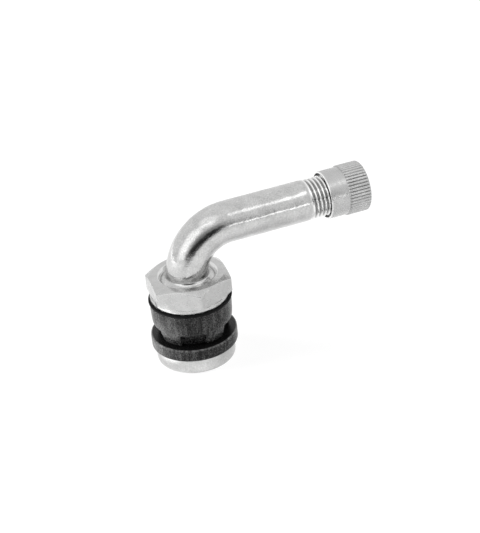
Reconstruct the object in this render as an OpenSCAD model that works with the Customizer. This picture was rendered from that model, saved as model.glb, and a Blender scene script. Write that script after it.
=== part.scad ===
// Angled tyre valve: a bent metal stem with a clamp nut, rubber seals, a spring-loaded core and a screw cap.
// The origin is the centre of the rim's hole, on the face of the inner seal that the rim lies on.
// The stem rises along +Z and its outlet points along +X.

/* [Foot and shank] */
// Diameter of the round foot that sits inside the rim
foot_d = 14.9; // [14.5:0.1:16.5]
// Thickness of the foot
foot_h = 3.15; // [2.4:0.05:4]
// Rounding of the foot's lower edge
foot_edge_r = 0.75; // [0.4:0.05:1.6]
// Chamfer around the air inlet in the foot
foot_inlet = 0.4; // [0.2:0.05:0.6]
// Diameter of the plain neck that the inner seal grips
neck_d = 8.6; // [8:0.1:9]
// Diameter of the clamp thread that carries the nut
clamp_thread_d = 10; // [9.6:0.1:10.4]
// Length of plain neck between the seal and the start of the clamp thread
thread_undercut = 1.2; // [0.8:0.1:1.8]
// Depth of the end of the clamp thread below the top of the nut
thread_set_in = 0.65; // [0.4:0.05:1.2]
// Diameter of the chamfered end of the clamp thread
collar_d = 9.7; // [9.2:0.1:9.9]

/* [Bent tube] */
// Outer diameter of the bent tube
tube_d = 7.8; // [7.75:0.05:8.2]
// Radius of the bend at the middle of the tube
bend_r = 8.7; // [7.5:0.1:12]
// Height of the start of the bend above the end of the clamp thread
bend_rise = 0.4; // [0.3:0.05:2]
// Straight length from the end of the bend to the mouth
outlet_len = 25.1; // [23:0.1:32]
// Diameter of the airway through the foot and the bend
airway_d = 3.2; // [2.4:0.1:3.6]

/* [Valve thread] */
// Diameter of the valve thread that takes the cap or a pump
valve_thread_d = 7.7; // [7.5:0.05:7.75]
// Length of the valve thread
valve_thread_len = 9.8; // [9:0.1:11]
// Pitch of the valve thread
valve_pitch = 0.794; // [0.7:0.002:0.9]
// Depth of the valve thread
valve_thread_depth = 0.42; // [0.3:0.02:0.5]
// Length of the slope from the valve thread up to the tube
tube_shoulder = 0.3; // [0.2:0.05:0.6]
// Chamfer on the mouth of the stem
mouth_chamfer = 0.35; // [0.2:0.05:0.5]

/* [Rubber seals] */
// Diameter of the inner seal's flange
seal_d = 16.3; // [15.4:0.1:18]
// Thickness of the inner seal's flange
seal_h = 2.45; // [1.8:0.05:3.2]
// Rounding of the flange's edges
seal_edge_r = 0.25; // [0.1:0.05:0.5]
// Diameter of the seal's spigot, which fills the hole in the rim
spigot_d = 11.3; // [10.8:0.1:11.6]
// Height of the spigot above the flange
spigot_h = 2.2; // [1.8:0.1:3]
// Gap between flange and bush that a rim opens
rim_gap = 0.1; // [0.05:0.05:0.9]
// Diameter of the outer bush at its top
bush_top_d = 15.3; // [14.6:0.1:17.2]
// Diameter of the outer bush at its lower edge
bush_low_d = 13.2; // [13:0.1:14.4]
// Height of the outer bush
bush_h = 6.8; // [5:0.05:8]
// Bevel around the top of the bush
bush_edge = 0.2; // [0.1:0.05:0.4]
// Number of notches around the lower edge of the bush
notch_count = 5; // [3:1:6]
// Width of a notch at its floor
notch_w = 3.4; // [2.5:0.1:4.4]
// Height of a notch
notch_h = 2.6; // [1.2:0.1:3]
// Direction of the first notch around the stem
notch_turn = -110; // [-180:0.5:180]

/* [Clamp nut and washer] */
// How far the washer stands out past the top of the bush
washer_lap = 0.2; // [0.1:0.05:0.8]
// Thickness of the washer
washer_h = 0.4; // [0.3:0.05:0.8]
// Distance of the nut's flats inside the edge of the washer
nut_inset = 0.65; // [0.4:0.05:1]
// Distance of the edge of the nut's bearing face inside the edge of the washer
bearing_inset = 0.4; // [0.3:0.05:0.8]
// Distance of the nut's flat top ring inside its flats
top_inset = 0.3; // [0.1:0.05:0.8]
// Height of the nut
nut_h = 4.65; // [3.5:0.05:5.5]
// Height of the round collar at the foot of the nut
nut_collar_h = 0.9; // [0.4:0.05:1.4]
// Countersink at both ends of the nut's thread
nut_mouth = 0.55; // [0.3:0.05:0.7]
// Turn of the nut's corners around the stem
nut_turn = 26; // [0:1:60]

/* [Cap] */
// Length of the cap
cap_len = 8.05; // [7:0.05:9]
// Diameter of the plain end of the cap
cap_collar_d = 9.15; // [8.9:0.05:9.4]
// Diameter over the grip flutes of the cap
cap_grip_d = 9.6; // [9.5:0.05:10.6]
// Length of the fluted grip
cap_grip_len = 4.35; // [3:0.05:5.5]
// Number of flutes around the grip
flute_count = 48; // [36:2:56]
// Depth of a flute
flute_depth = 0.2; // [0.12:0.02:0.26]
// Chamfer on the closed end of the cap
cap_chamfer = 0.4; // [0.2:0.05:0.6]
// Countersink at the rim of the cap
cap_rim_edge = 0.25; // [0.1:0.05:0.4]
// Thickness of the closed end of the cap
cap_end = 1.15; // [0.9:0.05:1.6]
// Thickness of the rubber disc inside the cap
cap_seal_h = 1.05; // [0.7:0.05:1.4]

/* [Valve core] */
// Diameter of the core's thread
core_thread_d = 5.2; // [5:0.05:5.4]
// Depth of the core plug below the mouth
plug_depth = 1.4; // [1:0.1:2]
// Length of the core plug
plug_len = 4.8; // [4.2:0.1:5.4]
// Width of the tongue on the plug that a core key turns
tongue_w = 2.4; // [2:0.1:2.8]
// Height of the tongue
tongue_h = 1.5; // [1:0.1:1.8]
// Diameter of the barrel below its gasket
barrel_d = 3.5; // [3.3:0.05:3.7]
// Length of the barrel below the plug
barrel_len = 8.8; // [8:0.1:11]
// Length of the tapered gasket on the barrel
gasket_len = 2; // [1.4:0.1:2.4]
// Diameter of the core pin
pin_d = 0.9; // [0.8:0.05:1]
// Depth of the pin's tip below the mouth
pin_depth = 0.3; // [0.1:0.05:0.6]
// Stroke of the pin when a pump opens the valve
pin_stroke = 1.2; // [0.8:0.1:1.6]
// Wire diameter of the core spring
spring_wire_d = 0.24; // [0.2:0.02:0.26]
// Number of turns of the core spring
spring_turns = 10; // [7:1:12]

/* [Fits] */
// Radial clearance of a screw thread
thread_clear = 0.05; // [0.03:0.01:0.08]
// Radial clearance of rubber on metal
rubber_clear = 0.05; // [0.03:0.01:0.1]
// Radial clearance of the washer and the bush over the clamp thread
slip_clear = 0.15; // [0.1:0.05:0.3]
// Radial clearance of the moving pin in the core
pin_clear = 0.2; // [0.15:0.05:0.25]
// Small gap between faces that press on each other but move apart
face_gap = 0.02; // [0.01:0.01:0.04]

/* [Hidden] */
$fn = 96;

// Number of straight steps in a rounded edge or a curved side
edge_steps = 8;
// How far a cut runs past the face that it opens
over = 1;

// Heights of the stack on the shank, from the foot up, with the rim's inner face at z = 0
seal_z = -seal_h;
foot_z = seal_z - foot_h;
bush_z = rim_gap;
bush_top = bush_z + bush_h;
washer_top = bush_top + washer_h;
nut_top = washer_top + nut_h;
clamp_thread_z = spigot_h + thread_undercut;
clamp_thread_top = nut_top - thread_set_in;
clamp_lead = (clamp_thread_d - collar_d) / 2;
bend_z = clamp_thread_top + bend_rise;
outlet_z = bend_z + bend_r;

// Sizes around the nut, which all follow the top of the bush
washer_d = bush_top_d + 2 * washer_lap;
nut_af = washer_d - 2 * nut_inset;
nut_low_d = washer_d - 2 * bearing_inset;
nut_top_d = nut_af - 2 * top_inset;
// Slopes of the nut's upper and lower chamfers, in height for each unit of radius
nut_top_slope = tan(30);
nut_low_slope = tan(40);
// The larger this is, the closer to its lower edge the bush reaches its full width
bush_curve = 3.6;
// Angle at which each flank of a notch in the bush opens outward
notch_flank = 28;

// Places along the outlet
mouth_x = bend_r + outlet_len;
cap_floor_x = mouth_x + cap_seal_h;
cap_rim_x = cap_floor_x + cap_end - cap_len;
cap_bore_d = valve_thread_d + 2 * thread_clear;
// Shares of the valve thread's pitch: the flat bottom of a groove, and the mouth of a groove
groove_floor = 0.15;
groove_mouth = 0.86;
// Number of grooves that fit on the valve thread
groove_count = floor((valve_thread_len - 2 * mouth_chamfer) / valve_pitch);
// Share of a flute's pitch that is flat land
flute_land = 0.4;

// Walls and steps of the core
plug_bore_d = 2.4;
head_d = 3.6;
head_h = 1.2;
flange_h = 0.7;
flange_step = 0.15;
gasket_top_d = 4.6;
gasket_lip = 0.2;
waist_step = 0.3;
barrel_wall = 0.3;
barrel_web = 0.8;
collar_lead = 0.3;
collar_h = 0.5;
cup_relief = 0.05;
cup_wall = 0.2;
cup_lip = 0.35;
cup_floor_h = 0.5;
cup_seal_h = 0.65;
rivet_h = 0.3;
rivet_step = 0.25;
pin_bevel = 0.14;
end_room = 1.5;

// The core, measured inward from the mouth
chamber_d = core_thread_d + 2 * thread_clear;
plug_end = plug_depth + plug_len;
gasket_z = plug_end + flange_h;
gasket_end = gasket_z + gasket_len;
gasket_low_d = barrel_d + 2 * gasket_lip;
waist_d = barrel_d - 2 * waist_step;
flange_d = gasket_top_d - 2 * flange_step;
seat_top_d = gasket_top_d + 2 * rubber_clear;
seat_low_d = gasket_low_d + 2 * rubber_clear;
barrel_end = plug_end + barrel_len;
barrel_bore_d = waist_d - 2 * barrel_wall;
pin_hole_d = pin_d + 2 * pin_clear;
collar_z = gasket_z - collar_lead;
pin_collar_d = barrel_bore_d - 2 * pin_clear;
cup_d = barrel_d - 2 * cup_relief;
cup_seal_d = cup_d - 2 * cup_wall;
cup_seal_z = barrel_end + face_gap;
cup_floor_z = cup_seal_z + cup_seal_h;
rivet_d = pin_d + 2 * rivet_step;
pin_end = cup_floor_z + cup_floor_h + rivet_h;
core_bore_end = pin_end + pin_stroke + end_room;
spring_z = collar_z + collar_h;
spring_end = barrel_end - barrel_web;
spring_r = (pin_d + barrel_bore_d) / 4;

// Points of a rounded outer corner of radius r around [x, y], between two angles
function corner(x, y, r, from, to) =
    [for (i = [0:edge_steps]) let (a = from + (to - from) * i / edge_steps) [x + r * cos(a), y + r * sin(a)]];

// Radius of the bush at a share u of its height: it bulges from the lower edge and then runs straight up
function bush_r(u) = (bush_low_d + (bush_top_d - bush_low_d) * (1 - pow(1 - u, bush_curve))) / 2;

// One point of the spring's tube: ring i of n along the coil, side j of m around the wire
function coil_point(i, n, j, m, length) =
    let (turn = 360 * spring_turns * i / n)
    let (side = 360 * j / m)
    let (wire_r = spring_wire_d / 2)
    let (r = spring_r + wire_r * cos(side))
    [r * cos(turn), r * sin(turn), wire_r + (length - spring_wire_d) * i / n + wire_r * sin(side)];

// Puts a shape drawn up local z onto the outlet, with z running inward from the mouth
module inward() {
    translate([mouth_x, 0, outlet_z])
        rotate([0, -90, 0])
            children();
}

// Puts a shape drawn up local z onto the outlet, with z running outward from x
module outward(x) {
    translate([x, 0, outlet_z])
        rotate([0, 90, 0])
            children();
}

// A turned ring between two radii, from height low to height high
module ring(outer_r, inner_r, low, high) {
    translate([0, 0, low])
        difference() {
            cylinder(r = outer_r, h = high - low);
            translate([0, 0, -over])
                cylinder(r = inner_r, h = high - low + 2 * over);
        }
}

// Foot, neck and clamp thread, turned around the upright axis
module stem_shank() {
    airway_r = airway_d / 2;
    foot_r = foot_d / 2;
    rotate_extrude()
        polygon(concat(
            [[airway_r, foot_z + foot_inlet], [airway_r + foot_inlet, foot_z]],
            corner(foot_r - foot_edge_r, foot_z + foot_edge_r, foot_edge_r, -90, 0),
            [[foot_r, seal_z], [neck_d / 2, seal_z], [neck_d / 2, clamp_thread_z]],
            [[clamp_thread_d / 2, clamp_thread_z + (clamp_thread_d - neck_d) / 2]],
            [[clamp_thread_d / 2, clamp_thread_top - clamp_lead], [collar_d / 2, clamp_thread_top]],
            [[tube_d / 2, bend_z], [airway_r, bend_z]]
        ));
}

// The quarter bend, hollow along its whole length
module stem_bend() {
    translate([bend_r, 0, bend_z])
        rotate([90, 0, 0])
            rotate([0, 0, 90])
                rotate_extrude(angle = 90)
                    translate([bend_r, 0])
                        difference() {
                            circle(d = tube_d);
                            circle(d = airway_d);
                        }
}

// Corners of one groove of the valve thread, centred at a depth t below the mouth
function groove(t) =
    let (top_r = valve_thread_d / 2)
    let (low_r = top_r - valve_thread_depth)
    [[top_r, t - valve_pitch * groove_mouth / 2], [low_r, t - valve_pitch * groove_floor / 2],
     [low_r, t + valve_pitch * groove_floor / 2], [top_r, t + valve_pitch * groove_mouth / 2]];

// The straight outlet with the valve thread outside and the stepped core chamber inside
module stem_outlet() {
    thread_r = valve_thread_d / 2;
    tube_r = tube_d / 2;
    bore_r = seat_low_d / 2;
    airway_r = airway_d / 2;
    inward()
        rotate_extrude()
            polygon(concat(
                [[thread_r - mouth_chamfer, 0], [thread_r, mouth_chamfer]],
                [for (i = [0:groove_count - 1]) each groove(mouth_chamfer + valve_pitch * (i + 0.5))],
                [[thread_r, valve_thread_len], [tube_r, valve_thread_len + tube_shoulder]],
                [[tube_r, outlet_len], [airway_r, outlet_len]],
                [[airway_r, core_bore_end + bore_r - airway_r], [bore_r, core_bore_end]],
                [[bore_r, gasket_end], [seat_top_d / 2, gasket_z]],
                [[chamber_d / 2, gasket_z - (chamber_d - seat_top_d) / 2]],
                [[chamber_d / 2, mouth_chamfer], [(chamber_d + mouth_chamfer) / 2, 0]]
            ));
}

// The bent stem: one turned and bent piece of plated brass
module valve_stem() {
    color("silver") {
        stem_shank();
        stem_bend();
        stem_outlet();
    }
}

// The lower rubber ring on the foot, with a spigot that fills the hole in the rim
module inner_seal() {
    bore_r = neck_d / 2 + rubber_clear;
    edge_r = seal_d / 2 - seal_edge_r;
    color("dimgray")
        rotate_extrude()
            polygon(concat(
                [[bore_r, seal_z]],
                corner(edge_r, seal_z + seal_edge_r, seal_edge_r, -90, 0),
                corner(edge_r, -seal_edge_r, seal_edge_r, 0, 90),
                [[spigot_d / 2, 0], [spigot_d / 2, spigot_h], [bore_r, spigot_h]]
            ));
}

// One notch in the bush, cut outward along +X
module bush_notch() {
    recess_r = spigot_d / 2 + slip_clear;
    floor_x = recess_r * cos(asin(notch_w / (2 * recess_r))) - slip_clear;
    reach = bush_top_d / 2;
    spread = reach * tan(notch_flank);
    translate([0, 0, bush_z - over])
        linear_extrude(height = notch_h + over)
            polygon([
                [floor_x, -notch_w / 2], [floor_x + reach, -notch_w / 2 - spread],
                [floor_x + reach, notch_w / 2 + spread], [floor_x, notch_w / 2]
            ]);
}

// The upper rubber bush between the rim and the nut, seated on the spigot
module outer_bush() {
    bore_r = clamp_thread_d / 2 + slip_clear;
    recess_r = spigot_d / 2 + slip_clear;
    side_h = bush_h - bush_edge;
    color("dimgray")
        difference() {
            rotate_extrude()
                polygon(concat(
                    [[recess_r, spigot_h], [recess_r, bush_z]],
                    [for (i = [0:edge_steps]) [bush_r(i / edge_steps), bush_z + side_h * i / edge_steps]],
                    [[bush_top_d / 2 - bush_edge, bush_top], [bore_r, bush_top], [bore_r, spigot_h]]
                ));
            for (i = [0:notch_count - 1])
                rotate([0, 0, notch_turn + 360 * i / notch_count])
                    bush_notch();
        }
}

// The thin dark washer that keeps the turning nut off the rubber
module clamp_washer() {
    color("black")
        ring(washer_d / 2, clamp_thread_d / 2 + slip_clear, bush_top, washer_top);
}

// The hexagon nut, chamfered above and below, on a round collar
module clamp_nut() {
    bore_r = clamp_thread_d / 2 + thread_clear;
    corner_r = nut_af / sqrt(3);
    top_drop = (corner_r - nut_top_d / 2) * nut_top_slope;
    low_rise = nut_collar_h + (corner_r - nut_low_d / 2) * nut_low_slope;
    color("gainsboro")
        translate([0, 0, washer_top])
            difference() {
                union() {
                    cylinder(d = nut_low_d, h = nut_collar_h);
                    intersection() {
                        rotate([0, 0, nut_turn])
                            cylinder(r = corner_r, h = nut_h, $fn = 6);
                        rotate_extrude()
                            polygon([
                                [0, 0], [nut_low_d / 2, 0], [nut_low_d / 2, nut_collar_h],
                                [corner_r, low_rise], [corner_r, nut_h - top_drop],
                                [nut_top_d / 2, nut_h], [0, nut_h]
                            ]);
                    }
                }
                translate([0, 0, -over])
                    cylinder(r = bore_r, h = nut_h + 2 * over);
                translate([0, 0, nut_h - nut_mouth])
                    cylinder(r1 = bore_r, r2 = bore_r + nut_mouth, h = nut_mouth);
                cylinder(r1 = bore_r + nut_mouth, r2 = bore_r, h = nut_mouth);
            }
}

// Outline of the fluted grip: flat lands with a V between each two
module grip_outline() {
    step = 360 / flute_count;
    top_r = cap_grip_d / 2;
    polygon([
        for (i = [0:flute_count - 1])
            for (p = [[-flute_land / 2, 0], [flute_land / 2, 0], [0.5, flute_depth]])
                (top_r - p[1]) * [cos((i + p[0]) * step), sin((i + p[0]) * step)]
    ]);
}

// The screw cap: a plain collar, a fluted grip and a closed end
module valve_cap() {
    collar_len = cap_len - cap_grip_len;
    top_r = cap_grip_d / 2;
    far_r = top_r + flute_depth;
    bore_r = cap_bore_d / 2;
    depth = cap_len - cap_end;
    color("lightgray")
        outward(cap_rim_x)
            difference() {
                union() {
                    cylinder(d = cap_collar_d, h = collar_len);
                    translate([0, 0, collar_len])
                        intersection() {
                            linear_extrude(height = cap_grip_len)
                                grip_outline();
                            rotate_extrude()
                                polygon([
                                    [0, 0], [top_r - flute_depth, 0], [far_r, 2 * flute_depth],
                                    [far_r, cap_grip_len - cap_chamfer - flute_depth],
                                    [top_r - cap_chamfer, cap_grip_len], [0, cap_grip_len]
                                ]);
                        }
                }
                translate([0, 0, -over])
                    cylinder(r = bore_r, h = depth + over);
                cylinder(r1 = bore_r + cap_rim_edge, r2 = bore_r, h = cap_rim_edge);
            }
}

// The rubber disc that seals the cap on the mouth of the stem
module cap_seal() {
    color("dimgray")
        outward(mouth_x + face_gap)
            cylinder(d = cap_bore_d - 2 * rubber_clear, h = cap_seal_h - face_gap);
}

// The screwed plug of the core, with a tongue for the key and a recess for the barrel's head
module core_plug() {
    plug_r = core_thread_d / 2;
    color("goldenrod")
        inward()
            difference() {
                translate([0, 0, plug_depth])
                    cylinder(r = plug_r, h = plug_len);
                for (side = [-1, 1])
                    translate([side * (tongue_w / 2 + plug_r) - plug_r, -2 * plug_r, plug_depth - over])
                        cube([2 * plug_r, 4 * plug_r, tongue_h + over]);
                translate([0, 0, plug_depth - over])
                    cylinder(d = pin_hole_d, h = plug_len + 2 * over);
                translate([0, 0, plug_depth + tongue_h])
                    cylinder(d = plug_bore_d, h = plug_len);
                translate([0, 0, plug_end - head_h])
                    cylinder(d = head_d + 2 * thread_clear, h = head_h + over);
            }
}

// The barrel of the core: a head held in the plug, a waist for the gasket and a tube with a spring seat
module core_barrel() {
    bore_r = barrel_bore_d / 2;
    hole_r = pin_hole_d / 2;
    color("goldenrod")
        inward()
            rotate_extrude()
                polygon([
                    [bore_r, plug_end - head_h], [head_d / 2, plug_end - head_h], [head_d / 2, plug_end],
                    [flange_d / 2, plug_end], [flange_d / 2, gasket_z], [waist_d / 2, gasket_z],
                    [waist_d / 2, gasket_end], [barrel_d / 2, gasket_end], [barrel_d / 2, barrel_end],
                    [hole_r, barrel_end], [hole_r, spring_end], [bore_r, spring_end]
                ]);
}

// The tapered gasket that seals the barrel on the cone in the stem
module barrel_gasket() {
    color("firebrick")
        inward()
            rotate_extrude()
                polygon([
                    [waist_d / 2, gasket_z], [gasket_top_d / 2, gasket_z],
                    [gasket_low_d / 2, gasket_end], [waist_d / 2, gasket_end]
                ]);
}

// The pin that a pump pushes in: a wire with a collar for the spring and a riveted end
module core_pin() {
    pin_r = pin_d / 2;
    color("gold")
        inward()
            rotate_extrude()
                polygon([
                    [0, pin_depth], [pin_r - pin_bevel, pin_depth], [pin_r, pin_depth + pin_bevel],
                    [pin_r, collar_z], [pin_collar_d / 2, collar_z], [pin_collar_d / 2, spring_z],
                    [pin_r, spring_z], [pin_r, pin_end - rivet_h],
                    [rivet_d / 2, pin_end - rivet_h], [pin_r, pin_end], [0, pin_end]
                ]);
}

// The small cup at the end of the pin, which holds the sealing washer
module pin_cup() {
    color("goldenrod")
        inward()
            rotate_extrude()
                polygon([
                    [pin_d / 2, cup_floor_z], [cup_seal_d / 2, cup_floor_z],
                    [cup_seal_d / 2, cup_floor_z - cup_lip], [cup_d / 2, cup_floor_z - cup_lip],
                    [cup_d / 2, cup_floor_z + cup_floor_h], [pin_d / 2, cup_floor_z + cup_floor_h]
                ]);
}

// The rubber washer in the cup, which closes on the end of the barrel
module cup_seal() {
    color("dimgray")
        inward()
            ring(cup_seal_d / 2, pin_d / 2, cup_seal_z, cup_floor_z);
}

// The spring in the barrel, which pulls the washer shut by pushing the pin's collar outward
module core_spring() {
    m = 6;
    n = 14 * spring_turns;
    length = spring_end - spring_z - 2 * face_gap;
    points = [for (i = [0:n]) for (j = [0:m - 1]) coil_point(i, n, j, m, length)];
    sides = [for (i = [0:n - 1]) for (j = [0:m - 1])
        [i * m + j, i * m + (j + 1) % m, (i + 1) * m + (j + 1) % m, (i + 1) * m + j]];
    first_end = [for (j = [m - 1:-1:0]) j];
    last_end = [for (j = [0:m - 1]) n * m + j];
    color("silver")
        inward()
            translate([0, 0, spring_z + face_gap])
                polyhedron(points = points, faces = concat(sides, [first_end, last_end]), convexity = 8);
}

valve_stem();
inner_seal();
outer_bush();
clamp_washer();
clamp_nut();
valve_cap();
cap_seal();
core_plug();
core_barrel();
barrel_gasket();
core_pin();
pin_cup();
cup_seal();
core_spring();
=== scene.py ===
# %% [markdown]
# The object is an angled tyre valve. A bent, plated brass stem stands on a round foot.
# Two rubber pieces and a nut clamp it in a wheel's rim, and a fluted cap closes its mouth.
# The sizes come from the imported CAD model, so the lesson starts by loading that model as a fixed frame.
# Outlines are worked out in millimetres here, because the pieces are small, and become metres at the end.

# %% Load the frame and keep its box
import math

import bmesh
import bpy
from mathutils import Matrix, Vector


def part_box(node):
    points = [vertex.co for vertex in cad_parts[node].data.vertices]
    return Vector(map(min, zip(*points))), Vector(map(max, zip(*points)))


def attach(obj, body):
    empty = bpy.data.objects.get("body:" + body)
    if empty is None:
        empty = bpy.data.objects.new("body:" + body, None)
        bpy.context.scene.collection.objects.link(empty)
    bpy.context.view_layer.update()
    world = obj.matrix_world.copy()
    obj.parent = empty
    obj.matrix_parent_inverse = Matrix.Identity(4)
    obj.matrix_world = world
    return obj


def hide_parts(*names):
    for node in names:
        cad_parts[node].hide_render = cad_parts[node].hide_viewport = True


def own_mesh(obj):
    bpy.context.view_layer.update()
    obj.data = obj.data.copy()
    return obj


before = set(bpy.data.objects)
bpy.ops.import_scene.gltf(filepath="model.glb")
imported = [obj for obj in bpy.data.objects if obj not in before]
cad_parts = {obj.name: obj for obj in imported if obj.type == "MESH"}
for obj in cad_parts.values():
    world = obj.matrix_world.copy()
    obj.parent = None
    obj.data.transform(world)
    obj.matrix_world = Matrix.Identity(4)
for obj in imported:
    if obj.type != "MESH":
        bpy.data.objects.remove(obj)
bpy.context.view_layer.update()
MM = 0.001
X, Y, Z = range(3)


def span(node, axis):
    """Lowest and highest value of a CAD node along one axis, in millimetres."""
    low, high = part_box(node)
    return low[axis] / MM, high[axis] / MM


foot_z = span("valve_stem", Z)[0]
mouth_x = span("valve_stem", X)[1]
outlet_z = sum(span("valve_cap", Z)) / 2
print("outlet axis at z", round(outlet_z, 2), "and mouth at x", round(mouth_x, 2))

# %% [markdown]
# The camera stands in front of the valve, a little to its left, and looks down on it by 30 degrees.
# A long lens keeps the perspective flat, as in a catalogue picture.
# Its matrix is built from three directions, which makes the small roll of a hand-held camera easy to set.

# %% Camera
EYE = Vector((-75.46, -248.10, 162.53)) * MM
FORWARD = Vector((0.28276, 0.81745, -0.50181)).normalized()
ROLL = math.radians(5.76)
level = FORWARD.cross(Vector((0, 0, 1))).normalized()
upright = level.cross(FORWARD)
right = level * math.cos(ROLL) - upright * math.sin(ROLL)
up = level * math.sin(ROLL) + upright * math.cos(ROLL)

lens = bpy.data.cameras.new("camera")
lens.sensor_width = 36
lens.lens = 109.6
lens.clip_start = 0.01
lens.clip_end = 20
camera = bpy.data.objects.new("camera", lens)
directions = Matrix((right, up, -FORWARD)).transposed().to_4x4()
camera.matrix_world = Matrix.Translation(EYE) @ directions
scene = bpy.context.scene
scene.collection.objects.link(camera)
scene.camera = camera
scene.view_settings.view_transform = "Standard"
print("camera", round(EYE.length / MM), "mm from the origin")

# %% [markdown]
# Every finish below is a small tree of shader nodes. A few helpers keep the trees short.
# The first makes a material and sets the values that are the same all over on the shader itself.
# The second adds a node, sets its values and links its inputs in one line, and the others build on it:
# noise, sums, masks by position and bumps. The last ones link what was made to the shader or the surface.


# %% Helpers for materials
def new_material(name, **values):
    """A material and its node tree. Plain values of its Principled shader are set by socket name."""
    material = bpy.data.materials.new(name)
    material.use_nodes = True
    shader = material.node_tree.nodes["Principled BSDF"]
    for socket, value in values.items():
        shader.inputs[socket.replace("_", " ")].default_value = value
    return material, material.node_tree


def add(tree, kind, settings=None, **inputs):
    """A shader node. An input is a value, or a socket to link from. Its key is a name, or i and a number."""
    node = tree.nodes.new("ShaderNode" + kind)
    for key, value in (settings or {}).items():
        setattr(node, key, value)
    for key, value in inputs.items():
        socket = node.inputs[int(key[1:])] if key[1:].isdigit() else node.inputs[key.replace("_", " ")]
        if isinstance(value, bpy.types.NodeSocket):
            tree.links.new(value, socket)
        else:
            socket.default_value = value
    return node


def calc(tree, operation, *values):
    """The result of a sum on values or sockets."""
    inputs = {f"i{k}": value for k, value in enumerate(values)}
    return add(tree, "Math", {"operation": operation}, **inputs).outputs[0]


def speckle(tree, scale, detail=4.0, stretch=(1, 1, 1), rough=0.5):
    """A noise value in the object's own space, stretched along its axes. Scale counts per metre."""
    place = add(tree, "TexCoord").outputs["Object"]
    sized = add(tree, "Mapping", Vector=place, Scale=stretch).outputs["Vector"]
    return add(tree, "TexNoise", Vector=sized, Scale=scale, Detail=detail, Roughness=rough).outputs["Fac"]


def between(tree, fac, low, high, start=0.3, end=0.7):
    """Passes softly from one number to another while fac goes from start to end."""
    settings = {"interpolation_type": "SMOOTHSTEP"}
    return add(tree, "MapRange", settings, Value=fac, i1=start, i2=end, i3=low, i4=high).outputs["Result"]


def rising(tree, place, start, end):
    """A mask that goes from 0 to 1 between two places in millimetres."""
    return between(tree, place, 0, 1, start * MM, end * MM)


def falling(tree, place, start, end):
    """A mask that goes from 1 to 0 between two places in millimetres."""
    return between(tree, place, 1, 0, start * MM, end * MM)


def tint(tree, fac, low, high, start=0.3, end=0.7):
    """Passes from one fixed colour to another while fac goes from start to end."""
    ramp = add(tree, "ValToRGB", Fac=fac)
    stops = ramp.color_ramp.elements
    stops[0].position, stops[1].position = start, end
    stops[0].color, stops[1].color = (*low, 1), (*high, 1)
    return ramp.outputs["Color"]


def mix(tree, mask, first, second):
    """The first colour where the mask is 0 and the second where it is 1."""
    return add(tree, "Mix", {"data_type": "RGBA"}, i0=mask, i6=first, i7=second).outputs[2]


def own_place(tree):
    """X, Y and Z in the object's own space, in metres."""
    return add(tree, "SeparateXYZ", Vector=add(tree, "TexCoord").outputs["Object"]).outputs


def length(tree, **parts):
    """Length of the vector with these parts."""
    joined = add(tree, "CombineXYZ", **parts).outputs["Vector"]
    return add(tree, "VectorMath", {"operation": "LENGTH"}, i0=joined).outputs["Value"]


def from_upright(tree):
    """Height and distance from the upright axis, in metres."""
    place = own_place(tree)
    return place["Z"], length(tree, X=place["X"], Y=place["Y"])


def from_outlet(tree):
    """Position along the outlet and distance from its axis, in metres."""
    place = own_place(tree)
    rise = calc(tree, "SUBTRACT", place["Z"], outlet_z * MM)
    return place["X"], length(tree, Y=place["Y"], Z=rise)


def bump(tree, height, depth, before=None):
    """Raises the surface by height times depth, in metres, over an earlier bump."""
    node = add(tree, "Bump", Height=height, Strength=1.0, Distance=depth)
    if before is not None:
        tree.links.new(before, node.inputs["Normal"])
    return node.outputs["Normal"]


def dress(tree, **finish):
    """Links what changes over the surface to the Principled shader, by socket name."""
    shader = tree.nodes["Principled BSDF"]
    for socket, value in finish.items():
        tree.links.new(value, shader.inputs[socket.replace("_", " ")])


def blend(tree, mask, first, second, output="Material Output"):
    """Mixes two shaders by a mask and links them to the surface."""
    mixed = add(tree, "MixShader", i0=mask, i1=first.outputs[0], i2=second.outputs[0])
    tree.links.new(mixed.outputs[0], tree.nodes[output].inputs["Surface"])


print("material helpers ready")

# %% [markdown]
# The valve stands on a white table in a white room. The world is white to the camera and to the metal's
# reflections, and weaker as a light, so that the lamps shape the object.
# The floor works in the same way: most of its white is plain glow, and the rest is lit and keeps a faint
# shadow. Reflections see less of the glow, so the metal above the floor also shows that shadow.

# %% White room and floor
WHITE = (1, 1, 1, 1)
TABLE_WHITE = (0.9, 0.9, 0.9, 1)
ROOM_LIGHT = 0.22
GLOW = 1.08
GLOW_SEEN = 0.8
GLOW_REFLECTED = 0.45
FLOOR_REACH = 3.0
FLOOR_SIDES = 64


def seen_directly(tree):
    """1 for rays that come from the camera, a reflection or glass, else 0."""
    path = add(tree, "LightPath").outputs
    pair = calc(tree, "MAXIMUM", path["Is Camera Ray"], path["Is Glossy Ray"])
    return calc(tree, "MAXIMUM", pair, path["Is Transmission Ray"])


world = bpy.data.worlds.new("white_room")
scene.world = world
world.use_nodes = True
tree = world.node_tree
lit = tree.nodes["Background"]
lit.inputs["Color"].default_value = WHITE
lit.inputs["Strength"].default_value = ROOM_LIGHT
seen = add(tree, "Background", Color=WHITE, Strength=1.0)
blend(tree, seen_directly(tree), lit, seen, output="World Output")

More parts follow.
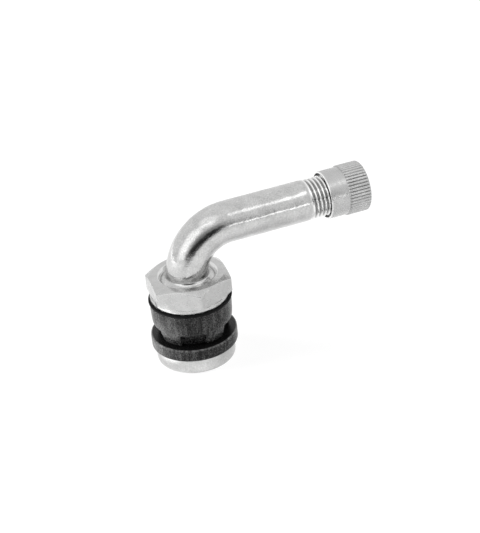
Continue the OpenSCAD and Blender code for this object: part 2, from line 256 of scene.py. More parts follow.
outline = []
for i in range(FLOOR_SIDES):
    angle = 2 * math.pi * i / FLOOR_SIDES
    outline.append((FLOOR_REACH * math.cos(angle), FLOOR_REACH * math.sin(angle), foot_z * MM))
floor_mesh = bpy.data.meshes.new("floor")
floor_mesh.from_pydata(outline, [], [list(range(FLOOR_SIDES))])
floor = bpy.data.objects.new("floor", floor_mesh)
scene.collection.objects.link(floor)
white_table, tree = new_material("white_table", Base_Color=TABLE_WHITE, Roughness=0.9)
glow = add(tree, "Emission", Color=WHITE, Strength=GLOW)
path = add(tree, "LightPath").outputs
mirrored = calc(tree, "MULTIPLY", path["Is Glossy Ray"], GLOW_REFLECTED)
share = calc(tree, "MULTIPLY_ADD", path["Is Camera Ray"], GLOW_SEEN, mirrored)
blend(tree, share, tree.nodes["Principled BSDF"], glow)
floor_mesh.materials.append(white_table)
print("floor at z", round(foot_z, 2), "mm")

# %% [markdown]
# Polished metal shows its surroundings more than its own colour, so the metal is lit by what it reflects.
# Plain lamps light the rubber, and cards that only reflections see draw the strokes on the metal.
# Each card fades out towards its edges, because a big soft lamp has no hard edge in a polished tube.
# Some cards are dark, since metal looks polished where dark and bright lie side by side.
# Two cards lie on the table: a dark one in front, for the streak along the bend, and a bright one by the foot.

# %% Lamps and cards
MIDDLE = Vector((8, 0, 12))
CARD_LIFT = 0.05
FLOOR_CARD_AWAY = 0.285
FLOOR_CARD_TURN = -18
TABLE_CARD_X = -18
TABLE_CARD_Y = -2


def place_round(thing, azimuth, elevation, distance):
    """Puts a thing round the valve, facing its middle. Azimuth 0 is in front, 90 at the outlet."""
    a, e = math.radians(azimuth), math.radians(elevation)
    away = Vector((math.sin(a) * math.cos(e), -math.cos(a) * math.cos(e), math.sin(e)))
    facing = away.to_track_quat("Z", "Y").to_matrix().to_4x4()
    thing.matrix_world = Matrix.Translation(MIDDLE * MM + away * distance) @ facing
    scene.collection.objects.link(thing)


def lay_flat(thing, x, y, turn=0, forward=0):
    """Lays a card on the table at a place in millimetres, turns it and moves it forward by some metres."""
    spot = Matrix.Translation(Vector((x, y, foot_z + CARD_LIFT)) * MM)
    aimed = spot @ Matrix.Rotation(math.radians(turn), 4, "Z")
    thing.matrix_world = aimed @ Matrix.Translation((0, -forward, 0))


def lamp(name, azimuth, elevation, width, height, brightness, distance=0.7):
    """A soft lamp that reflections don't see. A brightness of 1 is the white of the room."""
    light = bpy.data.lights.new(name, "AREA")
    light.shape = "RECTANGLE"
    light.size, light.size_y = width, height
    light.energy = brightness * math.pi * width * height
    thing = bpy.data.objects.new(name, light)
    thing.visible_camera = thing.visible_glossy = False
    place_round(thing, azimuth, elevation, distance)
    print(name, "gives", round(light.energy, 2), "W")


def card(name, azimuth, elevation, wide, high, brightness, core, distance=0.7, tilt=0):
    """A card that only reflections see. It reaches some degrees to each side and up and down,
    is solid over its core, a share of that reach for each direction, and fades out beyond.
    Tilt turns it in its own plane."""
    reach = [distance * math.tan(math.radians(angle)) for angle in (wide, high)]
    mesh = bpy.data.meshes.new(name)
    corners = [(x * reach[0], y * reach[1], 0) for x, y in ((-1, -1), (1, -1), (1, 1), (-1, 1))]
    mesh.from_pydata(corners, [], [(0, 1, 2, 3)])
    material = bpy.data.materials.new(name)
    material.use_nodes = True
    tree = material.node_tree
    tree.nodes.remove(tree.nodes["Principled BSDF"])
    place = own_place(tree)
    sides = []
    for k in (X, Y):
        off_middle = calc(tree, "ABSOLUTE", place[k])
        sides.append(between(tree, off_middle, 1, 0, reach[k] * core[k], reach[k]))
    shine = add(tree, "Emission", Color=WHITE, Strength=brightness)
    blend(tree, calc(tree, "MULTIPLY", *sides), add(tree, "BsdfTransparent"), shine)
    mesh.materials.append(material)
    thing = bpy.data.objects.new(name, mesh)
    thing.visible_camera = thing.visible_diffuse = False
    thing.visible_shadow = thing.visible_transmission = False
    place_round(thing, azimuth, elevation, distance)
    thing.matrix_world = thing.matrix_world @ Matrix.Rotation(math.radians(tilt), 4, "Z")
    print(name, "shines with", brightness)
    return thing


lamp("left_lamp", -115, 17, width=0.5, height=0.3, brightness=25.0)
lamp("right_lamp", 82, 18, width=0.4, height=0.3, brightness=12.0)
lamp("top_lamp", 26, 57, width=0.42, height=0.2, brightness=3.0)
card("left_card", -68, 27, wide=30, high=33, brightness=1.75, core=(0.3, 0.35))
card("sky_card", -55, 74, wide=32, high=14, brightness=1.35, core=(0.3, 0.3))
card("upper_card", -38, 56, wide=24, high=10.5, brightness=1.75, core=(0.3, 0.2))
card("top_card", 52, 57, wide=17.5, high=8.5, brightness=2.0, core=(0.5, 0.3))
card("low_card", 22, 3, wide=15, high=3.3, brightness=3.2, core=(0.7, 0.4))
card("grey_card", -17, 18, wide=42, high=28, brightness=0.25, core=(0.15, 0.1), distance=0.55, tilt=12)
card("dark_card", -15, 5.5, wide=38, high=17, brightness=0.03, core=(0.35, 0.5), distance=0.5, tilt=8)
floor_card = card("floor_card", 0, 0, wide=22, high=37, brightness=0.06, core=(0.35, 0.3),
                  distance=FLOOR_CARD_AWAY)
lay_flat(floor_card, MIDDLE.x, MIDDLE.y, turn=FLOOR_CARD_TURN, forward=FLOOR_CARD_AWAY)
table_card = card("table_card", 0, 0, wide=11, high=15, brightness=2.8, core=(0.5, 0.5), distance=0.05)
lay_flat(table_card, TABLE_CARD_X, TABLE_CARD_Y)

# %% [markdown]
# Most pieces of a valve are turned on a lathe or drawn as tube, so one helper makes nearly all of them.
# It sweeps rings of points along a middle line, ring after ring, and joins neighbours with four-sided faces.
# A ring's distance along the line and its radius may change with the angle around it: that gives threads,
# flutes and the flats of the nut without a single cut.

# %% Sweep helper
LEG_SHARE = 0.48


def skin(name, rows, place, around=96, loop=True):
    """A mesh object in millimetres. A row is (along, radius), or a function of the angle that returns it.
    Rows may also be one function of the angle that returns the whole outline there.
    place(along) gives the centre and two directions across. A loop joins the last ring to the first;
    otherwise both ends close in a point."""
    mesh = bmesh.new()
    angles = [2 * math.pi * i / around for i in range(around)]
    if callable(rows):
        table = list(zip(*[rows(angle) for angle in angles]))
    else:
        table = [[row(angle) if callable(row) else row for angle in angles] for row in rows]
    rings = []
    for row in table:
        ring = []
        for angle, (along, radius) in zip(angles, row):
            centre, across, beside = place(along)
            outward = across * math.cos(angle) + beside * math.sin(angle)
            ring.append(mesh.verts.new(centre + outward * radius))
        rings.append(ring)
    pairs = list(zip(rings, rings[1:] + rings[:1])) if loop else list(zip(rings, rings[1:]))
    for low, high in pairs:
        for i in range(around):
            j = (i + 1) % around
            mesh.faces.new((low[i], low[j], high[j], high[i]))
    if not loop:
        for ring in (rings[0][::-1], rings[-1]):
            middle = mesh.verts.new(sum((v.co for v in ring), Vector()) / around)
            for i in range(around):
                mesh.faces.new((ring[i], ring[(i + 1) % around], middle))
    bmesh.ops.recalc_face_normals(mesh, faces=mesh.faces)
    data = bpy.data.meshes.new(name)
    mesh.to_mesh(data)
    mesh.free()
    thing = bpy.data.objects.new(name, data)
    scene.collection.objects.link(thing)
    return thing


def upright_axis(z):
    """Rings around the upright axis, at height z."""
    return Vector((0, 0, z)), Vector((1, 0, 0)), Vector((0, 1, 0))


def outlet_axis(x):
    """Rings around the outlet's axis, at x."""
    return Vector((x, 0, outlet_z)), Vector((0, 0, -1)), Vector((0, 1, 0))


def soften(outline, loop=True, steps=4):
    """Rounds the corners of an outline of (along, radius, rounding) points with short curves.
    A rounding takes less than half of each leg, so that two of them never meet."""
    smooth = []
    last = len(outline) - 1
    for i, (along, radius, rounding) in enumerate(outline):
        here = Vector((along, radius))
        if not rounding or (not loop and i in (0, last)):
            smooth.append((along, radius))
            continue
        ends = []
        for other in (outline[i - 1], outline[(i + 1) % len(outline)]):
            leg = Vector(other[:2]) - here
            ends.append(here + leg.normalized() * min(rounding, leg.length * LEG_SHARE))
        for k in range(steps + 1):
            t = k / steps
            point = ends[0] * (1 - t) ** 2 + here * (2 * t * (1 - t)) + ends[1] * t ** 2
            smooth.append((point.x, point.y))
    return smooth


def settle(thing):
    """Applies a piece's modifiers, so that its mesh is final."""
    graph = bpy.context.evaluated_depsgraph_get()
    made = bpy.data.meshes.new_from_object(thing.evaluated_get(graph))
    thing.modifiers.clear()
    thing.data = made


def fit(thing, body, node, material, crease=40):
    """Turns a piece into metres, shades it, and lets it ride on its body in place of its CAD node."""
    thing.data.transform(Matrix.Scale(MM, 4))
    thing.data.polygons.foreach_set("use_smooth", [True] * len(thing.data.polygons))
    thing.data.set_sharp_from_angle(angle=math.radians(crease))
    thing.data.materials.clear()
    thing.data.materials.append(material)
    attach(thing, body)
    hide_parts(node)
    print(thing.name, "has", len(thing.data.polygons), "faces and stands for", node)


print("sweep helpers ready")

# %% [markdown]
# A screw thread is a groove that climbs one pitch with each turn. Here it is a ring whose radius depends on
# where the ring is and on the angle: one pitch along or one turn around meets the same groove again.
# The groove starts and ends shallow, as the run-out of a cut thread does.
# The thread at the mouth is the usual one of tyre valves, 7.7 mm wide with 32 turns to the inch.
# The coarser one carries the nut. The gaps are those of the CAD model and keep mating pieces apart.

# %% Threads and gaps
VALVE_R = 3.85
VALVE_ROOT_R = 3.43
VALVE_PITCH = 25.4 / 32
VALVE_LENGTH = 9.8
CLAMP_R = 5.0
CLAMP_ROOT_R = 4.45
CLAMP_PITCH = 1.0
THREAD_FLAT = 0.14
THREAD_GAP = 0.05
RUBBER_GAP = 0.05
SLIP_GAP = 0.15


def thread_rows(start, end, root, crest, pitch, run_in, run_out, steps=16):
    """Rings of a right-hand thread between two places along the line, plain over each run-out's end."""
    count = round((end - start) / pitch * steps)

    def ring(along):
        def radius(angle):
            turn = (along / pitch - angle / (2 * math.pi)) % 1
            groove = (abs(2 * turn - 1) - THREAD_FLAT) / (1 - 2 * THREAD_FLAT)
            groove = min(1, max(0, groove)) * min(1, (along - start) / run_in, (end - along) / run_out)
            return along, crest - (crest - root) * groove
        return radius

    return [ring(start + (end - start) * i / count) for i in range(count + 1)]


print("valve thread climbs", round(VALVE_PITCH, 3), "mm a turn, clamp thread", CLAMP_PITCH, "mm")

# %% [markdown]
# The stem is bright nickel plate over brass. It was polished, bent and handled, so its reflections waver a
# little: slow bumps do that, and a fine one adds the grain of polishing. A flat grey would look like paint.
# The colour gets a little paler towards the foot.
# On the valve thread a painted highlight lightens the crests and painted shade darkens the grooves, and the
# metal inside the mouth gets the light colour too.

# %% Nickel of the stem
bright_nickel, tree = new_material("bright_nickel", Metallic=1.0)
foot_end = span("inner_seal", Z)[0] + 0.5
paler = between(tree, own_place(tree)["Z"], 0.28, 0, foot_z * MM, foot_end * MM)
grain = calc(tree, "MULTIPLY_ADD", speckle(tree, 4200, detail=2), 1.3, -0.65)
clouded = calc(tree, "ADD", speckle(tree, 420, detail=6), grain)
shade = calc(tree, "ADD", clouded, paler)
polish = tint(tree, shade, (0.42, 0.42, 0.418), (0.68, 0.68, 0.676), 0.1, 1.0)
reach, radius = from_outlet(tree)
# Painted highlight and shade: the thread's crests get a light colour and its grooves a dark one; the bore
# inside the mouth gets the light colour too.
crest = rising(tree, radius, VALVE_ROOT_R + 0.05, VALVE_R - 0.05)
inner = falling(tree, radius, VALVE_ROOT_R - 0.23, VALVE_ROOT_R - 0.03)
crest_highlight_and_bore_mask = calc(tree, "MAXIMUM", crest, inner)
thread_highlight_and_shade = tint(tree, crest_highlight_and_bore_mask, (0.32, 0.32, 0.318), (0.84, 0.84, 0.835), 0, 1)
thread_x = mouth_x - VALVE_LENGTH
threaded = rising(tree, reach, thread_x + 0.1, thread_x + 0.6)
wavy = bump(tree, speckle(tree, 260, detail=2), 0.00009)
dents = bump(tree, speckle(tree, 1300, detail=3), 0.00002, wavy)
dress(tree, Base_Color=mix(tree, threaded, polish, thread_highlight_and_shade),
      Roughness=between(tree, speckle(tree, 900, detail=5), 0.07, 0.17),
      Normal=bump(tree, speckle(tree, 4600, detail=3), 0.000008, dents))
print("bright_nickel made")

# %% [markdown]
# The stem is one piece: foot, neck, clamp thread, a quarter bend and the outlet with the valve thread.
# It could be joined from a lathe part, a bent tube and another lathe part, but seams would show in the polish.
# So its rings follow one line from the foot through the bend to the mouth, and come back inside as the bore.

# %% Stem line
BEND_R = 8.7
TUBE_R = span("valve_stem", Z)[1] - outlet_z
bend_z = outlet_z - BEND_R
bend_start = bend_z - foot_z
bend_length = BEND_R * math.pi / 2
bend_end = bend_start + bend_length
stem_length = bend_end + mouth_x - BEND_R


def stem_line(along):
    """Centre of the stem and two directions across it, at a distance from the foot along its middle."""
    beside = Vector((0, 1, 0))
    if along <= bend_start:
        return Vector((0, 0, foot_z + along)), Vector((1, 0, 0)), beside
    if along >= bend_end:
        return Vector((mouth_x - stem_length + along, 0, outlet_z)), Vector((0, 0, -1)), beside
    turn = (along - bend_start) / BEND_R
    inward = Vector((math.cos(turn), 0, -math.sin(turn)))
    return Vector((BEND_R, 0, bend_z)) - inward * BEND_R, inward, beside


print("stem is", round(stem_length, 1), "mm long along its middle, tube radius", round(TUBE_R, 2))

# %% [markdown]
# The outside is written as a list of (distance, radius, rounding) points. The small roundings catch light,
# which is how an eye tells a real edge from a drawn one. The bend needs no points of its own:
# rings at even steps carry the tube round it.

# %% Stem outside
FOOT_R = span("valve_stem", Y)[1]
FOOT_EDGE = 0.75
AIRWAY_R = 1.6
INLET = 0.4
NECK_R = 4.3
NECK_ABOVE_SEAL = 1.2
NECK_CONE = 0.7
COLLAR_R = 4.85
COLLAR_BELOW_NUT = 0.65
COLLAR_STEP = 0.15
FLARE_FADE = 0.2
FLARE_STEPS = (0, 0.04, 0.08, 0.13, 0.2, 0.3, 0.42, 0.6, 0.85)
BEND_LEAD = 0.2
BEND_RINGS = 48
TUBE_RINGS = 8
SHOULDER = 0.3
VALVE_LEAD = 0.3
MOUTH_EDGE = 0.35

foot_top = span("inner_seal", Z)[0] - foot_z
clamp_low = span("inner_seal", Z)[1] + NECK_ABOVE_SEAL - foot_z
clamp_high = span("clamp_nut", Z)[1] - COLLAR_BELOW_NUT - foot_z
valve_low = stem_length - VALVE_LENGTH

foot = soften([
    (INLET, AIRWAY_R, 0.1), (0, AIRWAY_R + INLET, 0.15), (0, FOOT_R, FOOT_EDGE), (foot_top, FOOT_R, 0.12),
    (foot_top, NECK_R, 0.1), (clamp_low, NECK_R, 0)], loop=False, steps=6)
clamp = thread_rows(clamp_low + NECK_CONE, clamp_high - COLLAR_STEP, CLAMP_ROOT_R, CLAMP_R, CLAMP_PITCH,
                    run_in=0.6, run_out=0.35)
flare = [(clamp_high + t, TUBE_R + (COLLAR_R - TUBE_R) * math.exp(-t / FLARE_FADE)) for t in FLARE_STEPS]
bend_low = flare[-1][0] + BEND_LEAD
bend = [(bend_low + (bend_end - bend_low) * i / BEND_RINGS, TUBE_R) for i in range(BEND_RINGS + 1)]
tube_length = valve_low - SHOULDER - bend_end
tube = [(bend_end + tube_length * i / TUBE_RINGS, TUBE_R) for i in range(1, TUBE_RINGS + 1)]
valve = thread_rows(valve_low + VALVE_LEAD, stem_length - MOUTH_EDGE, VALVE_ROOT_R, VALVE_R, VALVE_PITCH,
                    run_in=0.5, run_out=0.2)
outer_rows = foot + clamp + flare + bend + tube + valve
print(len(outer_rows), "rings outside")

# %% [markdown]
# Inside, the mouth opens into the chamber that holds the valve core. The chamber steps down through the cone
# that the core's gasket seals on, and then the narrow airway runs back through the bend to the foot.

# %% Stem inside
CHAMBER_R = 2.65
SEAT_R = 2.35
SEAT_STEP = 0.3
CORE_BORE_R = 2.0
GASKET_DEPTH = 6.9
GASKET_LENGTH = 2.0
CORE_DEPTH = 19.17
CORE_STEP = 0.4
AIRWAY_RINGS = 24

inner_rows = soften([
    (stem_length, VALVE_R - MOUTH_EDGE, 0.1), (stem_length, CHAMBER_R + MOUTH_EDGE / 2, 0.1),
    (stem_length - MOUTH_EDGE, CHAMBER_R, 0), (stem_length - GASKET_DEPTH + SEAT_STEP, CHAMBER_R, 0),
    (stem_length - GASKET_DEPTH, SEAT_R, 0), (stem_length - GASKET_DEPTH - GASKET_LENGTH, CORE_BORE_R, 0),
    (stem_length - CORE_DEPTH, CORE_BORE_R, 0), (stem_length - CORE_DEPTH - CORE_STEP, AIRWAY_R, 0)],
    loop=False)
inner_rows += [(bend_end - bend_length * i / AIRWAY_RINGS, AIRWAY_R) for i in range(AIRWAY_RINGS + 1)]
stem = skin("valve_stem_plated", outer_rows + inner_rows, stem_line, around=128)
fit(stem, "stem", "valve_stem", bright_nickel)

# %% [markdown]
# The rubber is black, and what one sees of it is mostly a blurred reflection of the white room, strong at the
# edges where one looks along the surface. A bloom of dust and moulding powder shows as fine speckle,
# and wiping has drawn some of it into upright streaks.
# The colour and the roughness share the same noise, because dust makes rubber both paler and duller.
# Faces that point upwards are painted near black as shade, and a painted highlight makes the flange's upper
# edge pale.

# %% Black rubber
SEAL_R = span("inner_seal", Y)[1]
black_rubber, tree = new_material(
    "black_rubber", Specular_IOR_Level=0.2, Sheen_Weight=0.06, Sheen_Roughness=0.3)
dust = speckle(tree, 5600, detail=2, rough=0.6)
streak = speckle(tree, 1900, detail=2, stretch=(1, 1, 0.12))
cloud = speckle(tree, 300, detail=3)
wiped = calc(tree, "MULTIPLY_ADD", streak, 0.4, dust)
pale = between(tree, calc(tree, "MULTIPLY_ADD", cloud, 0.25, wiped), 0, 1, 0.77, 0.98)
dusty = tint(tree, pale, (0.001, 0.001, 0.001), (0.085, 0.085, 0.0845), 0, 1)
# Painted shade: a near-black colour replaces the dust on faces that point upwards.
top_shade_or_satin_mask = tint(tree, dust, (0.0006, 0.0006, 0.0006), (0.004, 0.004, 0.004))
facing_up = add(tree, "SeparateXYZ", Vector=add(tree, "TexCoord").outputs["Normal"]).outputs["Z"]
dust_and_top_shade = mix(tree, between(tree, facing_up, 0, 1, 0.75, 0.97), dusty, top_shade_or_satin_mask)
height, radius = from_upright(tree)
# Painted highlight: a pale ring on the flange's upper edge.
brim = rising(tree, radius, SEAL_R - 0.35, SEAL_R - 0.15)
band = calc(tree, "MULTIPLY", rising(tree, height, -0.35, -0.2), falling(tree, height, 0.05, 0.2))
edge_highlight_mask = calc(tree, "MULTIPLY", brim, band)
edge_highlight = tint(tree, streak, (0.02, 0.02, 0.0198), (0.17, 0.17, 0.169))
dress(tree, Base_Color=mix(tree, edge_highlight_mask, dust_and_top_shade, edge_highlight), Roughness=between(tree, dust, 0.18, 0.34),
      Normal=bump(tree, dust, 0.000025))
print("black_rubber made")

# %% [markdown]
# The inner seal is the ring under the rim. Its flange is as thick as the foot and a little wider,
# and its spigot fills the hole in the rim. It is a plain turned shape with soft moulded edges.

# %% Inner seal
SPIGOT_R = 5.65
NECK_BORE_R = NECK_R + RUBBER_GAP
seal_low, spigot_top = span("inner_seal", Z)
seal = skin("inner_seal_rubber", soften([
    (seal_low, NECK_BORE_R, 0.1), (seal_low, SEAL_R, 0.4), (0, SEAL_R, 0.4), (0, SPIGOT_R, 0.15),
    (spigot_top, SPIGOT_R, 0.25), (spigot_top, NECK_BORE_R, 0.1)], steps=6), upright_axis, around=144)
fit(seal, "stem", "inner_seal", black_rubber)

# %% [markdown]
# The outer bush sits on the spigot, above the rim. Its side bulges up from a narrower lower edge,
# where five notches let the rubber spread as the nut squeezes it.
# A boolean cuts the notches, and a voxel remesh with some smoothing rounds every edge as a mould would.

# %% Outer bush
WASHER_R = span("clamp_washer", Y)[1]
WASHER_LIP = 0.2
BUSH_LOW_R = 6.6
BUSH_TOP_R = WASHER_R - WASHER_LIP
BUSH_CURVE = 3.6
BUSH_STEPS = 24
BUSH_BORE_R = CLAMP_R + SLIP_GAP
RECESS_R = SPIGOT_R + SLIP_GAP
NOTCHES = 5
NOTCH_TURN = -110
NOTCH_WIDTH = 3.4
NOTCH_HEIGHT = 2.6
NOTCH_DRAFT = 0.2
NOTCH_FLANK = math.tan(math.radians(28))
NOTCH_BITE = 0.15
CUTTER_BELOW = 0.5
CUTTER_REACH = 6
VOXEL = 0.13

bush_low, bush_high = span("outer_bush", Z)
side = []
for i in range(BUSH_STEPS + 1):
    u = i / BUSH_STEPS
    bulge = 1 - (1 - u) ** BUSH_CURVE
    side.append((bush_low + (bush_high - bush_low) * u, BUSH_LOW_R + (BUSH_TOP_R - BUSH_LOW_R) * bulge))
bore = [(bush_high, BUSH_BORE_R), (spigot_top, BUSH_BORE_R), (spigot_top, RECESS_R), (bush_low, RECESS_R)]
bush = skin("outer_bush_rubber", side + bore, upright_axis, around=192)

notch_floor = math.sqrt(RECESS_R ** 2 - (NOTCH_WIDTH / 2) ** 2) - NOTCH_BITE
notch_far = notch_floor + CUTTER_REACH
cutters = bmesh.new()
for k in range(NOTCHES):
    turn = Matrix.Rotation(math.radians(NOTCH_TURN + 360 * k / NOTCHES), 3, "Z")
    ends = []
    for z, wider in ((bush_low - CUTTER_BELOW, NOTCH_DRAFT), (bush_low + NOTCH_HEIGHT, -NOTCH_DRAFT)):
        near = NOTCH_WIDTH / 2 + wider
        far = near + CUTTER_REACH * NOTCH_FLANK
        plan = [(notch_floor, -near), (notch_far, -far), (notch_far, far), (notch_floor, near)]
        ends.append([cutters.verts.new(turn @ Vector((x, y, z))) for x, y in plan])
    cutters.faces.new(ends[0][::-1])
    cutters.faces.new(ends[1])
    for i in range(4):
        j = (i + 1) % 4
        cutters.faces.new((ends[0][i], ends[0][j], ends[1][j], ends[1][i]))
cutter_mesh = bpy.data.meshes.new("notches")
cutters.to_mesh(cutter_mesh)
cutters.free()
cutter = bpy.data.objects.new("notches", cutter_mesh)
scene.collection.objects.link(cutter)
cut = bush.modifiers.new("notches", "BOOLEAN")
cut.object = cutter
cut.solver = "EXACT"
melt = bush.modifiers.new("mould", "REMESH")
melt.mode = "VOXEL"
melt.voxel_size = VOXEL
soft = bush.modifiers.new("soft", "SMOOTH")
soft.factor = 0.5
soft.iterations = 5
settle(bush)
bpy.data.objects.remove(cutter)
fit(bush, "stem", "outer_bush", black_rubber, crease=80)

# %% [markdown]
# A thin black washer lies between the nut and the rubber, so that the turning nut doesn't drag the bush along.
# It is smoother and darker than the rubber, and its edge is slightly rounded from stamping.

# %% Washer
WASHER_BORE_R = CLAMP_R + SLIP_GAP
black_washer, tree = new_material("black_washer", Specular_IOR_Level=0.1)
film = speckle(tree, 1500, detail=5)
dress(tree, Base_Color=tint(tree, film, (0.002, 0.002, 0.0022), (0.006, 0.006, 0.0064)),
      Roughness=between(tree, film, 0.5, 0.7), Normal=bump(tree, film, 0.00001))

washer_low, washer_high = span("clamp_washer", Z)
washer = skin("clamp_washer_black", soften([
    (washer_low, WASHER_BORE_R, 0.05), (washer_low, WASHER_R, 0.12), (washer_high, WASHER_R, 0.12),
    (washer_high, WASHER_BORE_R, 0.05)]), upright_axis, around=144)
fit(washer, "washer", "clamp_washer", black_washer)

# %% [markdown]
# The nut is a hexagon whose corners were turned off above and below, so each flat ends in curved lines.
# Below, the hexagon runs into a round collar, which bears on the washer.

# %% Nut sizes
NUT_FLATS = 14.4
NUT_TURN = math.radians(26)
NUT_CORNER = 0.4
NUT_INSET = 0.4
NUT_LOW_R = WASHER_R - NUT_INSET
NUT_TOP_INSET = 0.3
NUT_TOP_R = NUT_FLATS / 2 - NUT_TOP_INSET
NUT_COLLAR = 0.9
COLLAR_FADE = 0.03
TOP_SLOPE = math.tan(math.radians(30))
LOW_SLOPE = math.tan(math.radians(22))
NUT_BORE_R = CLAMP_R + THREAD_GAP
NUT_MOUTH = 0.55
NUT_MOUTH_R = NUT_BORE_R + NUT_MOUTH
SIXTH = math.pi / 3
nut_low, nut_high = span("clamp_nut", Z)
print("nut from z", round(nut_low, 2), "to", round(nut_high, 2))

# %% [markdown]
# The nut is duller than the stem, because it was plated without polishing and a spanner has held it.
# Only the mouth of its thread is bright: a mask by distance from the axis makes it smoother there and paints a
# highlight on it with a paler colour.

# %% Nut finish
nut_nickel, tree = new_material("nut_nickel", Metallic=1.0)
stain = speckle(tree, 600, detail=6)
plate = tint(tree, stain, (0.48, 0.48, 0.477), (0.55, 0.55, 0.547))
# Painted highlight: a paler colour at the mouth of the thread.
mouth_highlight = tint(tree, stain, (0.62, 0.62, 0.617), (0.76, 0.76, 0.756))
radius = from_upright(tree)[1]
mouth = falling(tree, radius, NUT_MOUTH_R - 0.05, NUT_MOUTH_R + 0.1)
rough = between(tree, speckle(tree, 1400, detail=5), 0.16, 0.3)
smoother = between(tree, mouth, 1, 0.35, 0, 1)
handled = bump(tree, speckle(tree, 380, detail=3), 0.00004)
dress(tree, Base_Color=mix(tree, mouth, plate, mouth_highlight), Roughness=calc(tree, "MULTIPLY", rough, smoother),
      Normal=bump(tree, speckle(tree, 6000, detail=3), 0.000004, handled))
print("nut_nickel made")

# %% [markdown]
# The nut could be cut by intersecting a prism with a cone. Here each direction has its own cross-section,
# which knows the hexagon's radius and the height at which the cones meet it. So the curved lines come out
# exact.


# %% Nut
def hexagon(angle):
    """Distance from the middle to the side of a hexagon with rounded corners, in this direction."""
    flat = NUT_FLATS / 2
    off_flat = abs((angle - NUT_TURN) % SIXTH - SIXTH / 2)
    if math.tan(off_flat) < (flat - NUT_CORNER) * math.tan(SIXTH / 2) / flat:
        return flat / math.cos(off_flat)
    pivot = (flat - NUT_CORNER) / math.cos(SIXTH / 2)
    off_corner = SIXTH / 2 - off_flat
    return pivot * math.cos(off_corner) + math.sqrt(NUT_CORNER ** 2 - (pivot * math.sin(off_corner)) ** 2)


def nut_outline(angle):
    """Cross-section of the nut in this direction."""
    side = hexagon(angle)
    low = nut_low + NUT_COLLAR + COLLAR_FADE + max(0, side - NUT_LOW_R) * LOW_SLOPE
    high = nut_high - max(0, side - NUT_TOP_R) * TOP_SLOPE
    return soften([
        (nut_low + NUT_MOUTH, NUT_BORE_R, 0), (nut_low, NUT_MOUTH_R, 0.08), (nut_low, NUT_LOW_R, 0.15),
        (nut_low + NUT_COLLAR - COLLAR_FADE, NUT_LOW_R, 0.06), (low, side, 0.06), (high, side, 0.1),
        (nut_high, NUT_TOP_R, 0.2), (nut_high, NUT_MOUTH_R, 0.1), (nut_high - NUT_MOUTH, NUT_BORE_R, 0)])


nut = skin("clamp_nut_plated", nut_outline, upright_axis, around=360)
fit(nut, "nut", "clamp_nut", nut_nickel, crease=50)

# %% [markdown]
# The cap is a plain collar and a grip with 48 shallow flutes. Its bore is relieved at the rim,
# so that a dark gap stays between the cap and the thread.

# %% Cap sizes
CAP_R = span("valve_cap", Z)[1] - outlet_z
CAP_COLLAR_R = 4.575
CAP_GRIP = 4.35
GRIP_STEP = 0.02
FLUTES = 48
FLUTE_DEPTH = 0.2
FLUTE_LAND = 0.4
CAP_EDGE = 0.24
EDGE_BLEND = 0.08
CAP_BORE_R = VALVE_R + THREAD_GAP
CAP_RIM_EDGE = 0.38
CAP_RIM_R = CAP_BORE_R + CAP_RIM_EDGE
CAP_RELIEF = 0.8
CAP_END = 1.15
FACE_INSET = 0.15
FACE_MIDDLE_R = 0.5
cap_rim, cap_far = span("valve_cap", X)
grip_start = cap_far - CAP_GRIP
print("cap from x", round(cap_rim, 2), "to", round(cap_far, 2))

# %% [markdown]
# The cap is satin nickel with faint turning marks. The flutes are darker than their crests, the collar and the
# end face.
# At the rim a painted highlight makes the metal much lighter. Each mask is a soft step by position.

# %% Cap finish
satin_nickel, tree = new_material("satin_nickel", Metallic=1.0)
stain = speckle(tree, 700, detail=5)
satin = tint(tree, stain, (0.46, 0.46, 0.459), (0.53, 0.53, 0.528))
flute_tone = tint(tree, stain, (0.26, 0.26, 0.259), (0.46, 0.46, 0.458))
# Painted highlight: a much lighter colour at the rim.
rim_highlight = tint(tree, stain, (0.84, 0.84, 0.835), (0.94, 0.94, 0.935))
reach, radius = from_outlet(tree)
crest = rising(tree, radius, CAP_R - FLUTE_DEPTH, CAP_R - 0.03)
face = rising(tree, reach, cap_far - CAP_EDGE, cap_far - 0.04)
outside = rising(tree, radius, CAP_RIM_R - 0.05, CAP_RIM_R + 0.05)
before_grip = falling(tree, reach, grip_start - 0.1, grip_start + 0.1)
collar = calc(tree, "MULTIPLY", before_grip, outside)
top_shade_or_satin_mask = calc(tree, "MAXIMUM", crest, calc(tree, "MAXIMUM", face, collar))
rim_highlight_mask = calc(tree, "MULTIPLY", falling(tree, reach, cap_rim, cap_rim + 0.3), outside)
dress(tree, Base_Color=mix(tree, rim_highlight_mask, mix(tree, top_shade_or_satin_mask, flute_tone, satin), rim_highlight),
      Roughness=between(tree, speckle(tree, 2400, detail=4), 0.24, 0.38),
      Normal=bump(tree, speckle(tree, 900, detail=3, stretch=(8, 0.6, 0.6)), 0.000012))
print("satin_nickel made")

# %% [markdown]
# The flutes are rings whose radius dips 48 times around. A slope at each end of the grip cuts them off,
# and a smooth minimum of the two radii leaves the small rounding that a worn tool leaves.

# %% Cap
START_STEPS = (0.03, 0.08, 0.13, 0.18, 0.24, 0.32, 0.42)
END_STEPS = (0.6, 0.48, 0.4, 0.34, 0.28, 0.22, 0.16, 0.1, 0.05, 0)


def fluted(along):
    """A ring of the grip: flutes, held under the slopes at both ends."""
    slope = min(CAP_R - FLUTE_DEPTH + along - grip_start, CAP_R - CAP_EDGE + cap_far - along)

    def ring(angle):
        turn = angle * FLUTES / (2 * math.pi) % 1
        groove = max(0, 1 - abs(2 * turn - 1) / (1 - FLUTE_LAND))
        radius = CAP_R - FLUTE_DEPTH * groove * groove * (3 - 2 * groove)
        nearness = max(0, EDGE_BLEND - abs(radius - slope)) / EDGE_BLEND
        return along, min(radius, slope) - nearness * nearness * EDGE_BLEND / 4
    return ring


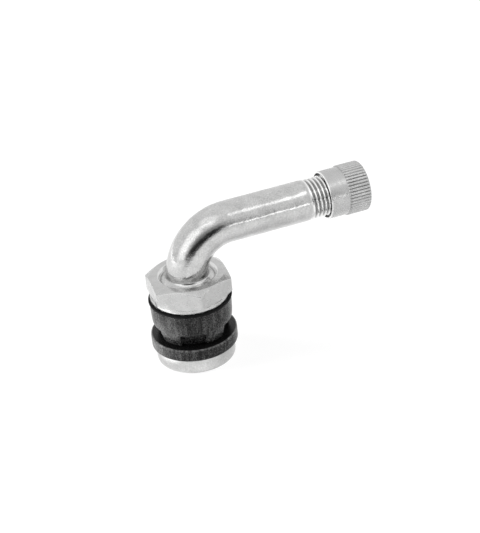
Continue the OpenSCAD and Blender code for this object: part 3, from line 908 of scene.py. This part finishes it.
cap_rows = soften([
    (cap_far - CAP_END, CAP_BORE_R, 0), (cap_rim + CAP_RELIEF, CAP_BORE_R, 0),
    (cap_rim + CAP_RELIEF, CAP_RIM_R, 0), (cap_rim, CAP_RIM_R, 0.06), (cap_rim, CAP_COLLAR_R, 0.22),
    (grip_start - GRIP_STEP, CAP_COLLAR_R, 0.05), (grip_start, CAP_R - FLUTE_DEPTH, 0)], loop=False)
cap_rows += [fluted(grip_start + step) for step in START_STEPS]
cap_rows += [fluted(cap_far - step) for step in END_STEPS]
cap_rows += [(cap_far, CAP_R - CAP_EDGE - FACE_INSET), (cap_far, FACE_MIDDLE_R)]
cap = skin("valve_cap_satin", cap_rows, outlet_axis, around=FLUTES * 8, loop=False)
fit(cap, "cap", "valve_cap", satin_nickel, crease=50)

# %% [markdown]
# A small rubber disc inside the cap presses on the mouth of the stem. It is hidden until the cap comes off,
# and it is made of the same rubber.

# %% Cap seal
DISC_R = CAP_BORE_R - RUBBER_GAP
DISC_MIDDLE_R = 0.4
disc_low, disc_high = span("cap_seal", X)
disc_rows = soften([
    (disc_low, DISC_MIDDLE_R, 0), (disc_low, DISC_R, 0.15), (disc_high, DISC_R, 0.15),
    (disc_high, DISC_MIDDLE_R, 0)], loop=False)
disc = skin("cap_seal_rubber", disc_rows, outlet_axis, loop=False)
fit(disc, "seal_disc", "cap_seal", black_rubber)

# %% [markdown]
# The core keeps its CAD solids, which already have the right shape: a screwed plug, a barrel, a pin and a cup.
# They only need finishes. Brass is warm and slightly uneven, and the gasket on the barrel is red rubber.

# %% Core finishes
core_brass, tree = new_material("core_brass", Metallic=1.0)
tarnish = speckle(tree, 900, detail=6)
dress(tree, Base_Color=tint(tree, tarnish, (0.52, 0.36, 0.15), (0.74, 0.55, 0.27)),
      Roughness=between(tree, tarnish, 0.34, 0.2), Normal=bump(tree, speckle(tree, 5000, detail=3), 0.000004))

red_seal, tree = new_material("red_seal", Specular_IOR_Level=0.4)
powder = speckle(tree, 1800, detail=5)
dress(tree, Base_Color=tint(tree, powder, (0.34, 0.03, 0.025), (0.5, 0.07, 0.055)),
      Roughness=between(tree, powder, 0.45, 0.65))

finishes = {"core_plug": core_brass, "core_barrel": core_brass, "core_pin": core_brass, "pin_cup": core_brass,
            "barrel_gasket": red_seal, "cup_seal": black_rubber}
for node, material in finishes.items():
    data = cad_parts[node].data
    data.materials.clear()
    data.materials.append(material)
print("finished", sorted(finishes))

# %% [markdown]
# The spring is round wire wound ten times. Its rings follow a helix inside the barrel.
# Pressing the pin pushes the wire together along the outlet, towards its fixed end.

# %% Core spring
WIRE_R = 0.12
COIL_R = 0.7
COILS = 10
STEPS = 24
spring_low, spring_high = span("core_spring", X)


def helix(step):
    """Centre of the wire after some steps, with the outward and the sideways direction."""
    turn = 2 * math.pi * step / STEPS
    outward = Vector((0, math.cos(turn), math.sin(turn)))
    along = spring_low + WIRE_R + (spring_high - spring_low - 2 * WIRE_R) * step / (COILS * STEPS)
    return Vector((along, 0, outlet_z)) + outward * COIL_R, outward, Vector((1, 0, 0))


spring_steel, tree = new_material("spring_steel", Metallic=1.0)
drawn = speckle(tree, 1600, detail=4)
dress(tree, Base_Color=tint(tree, drawn, (0.42, 0.42, 0.42), (0.58, 0.58, 0.57)),
      Roughness=between(tree, drawn, 0.22, 0.36))
wire_rows = [(i, WIRE_R) for i in range(COILS * STEPS + 1)]
spring = skin("core_spring_wire", wire_rows, helix, around=12, loop=False)
fit(spring, "stem", "core_spring", spring_steel)
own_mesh(spring)
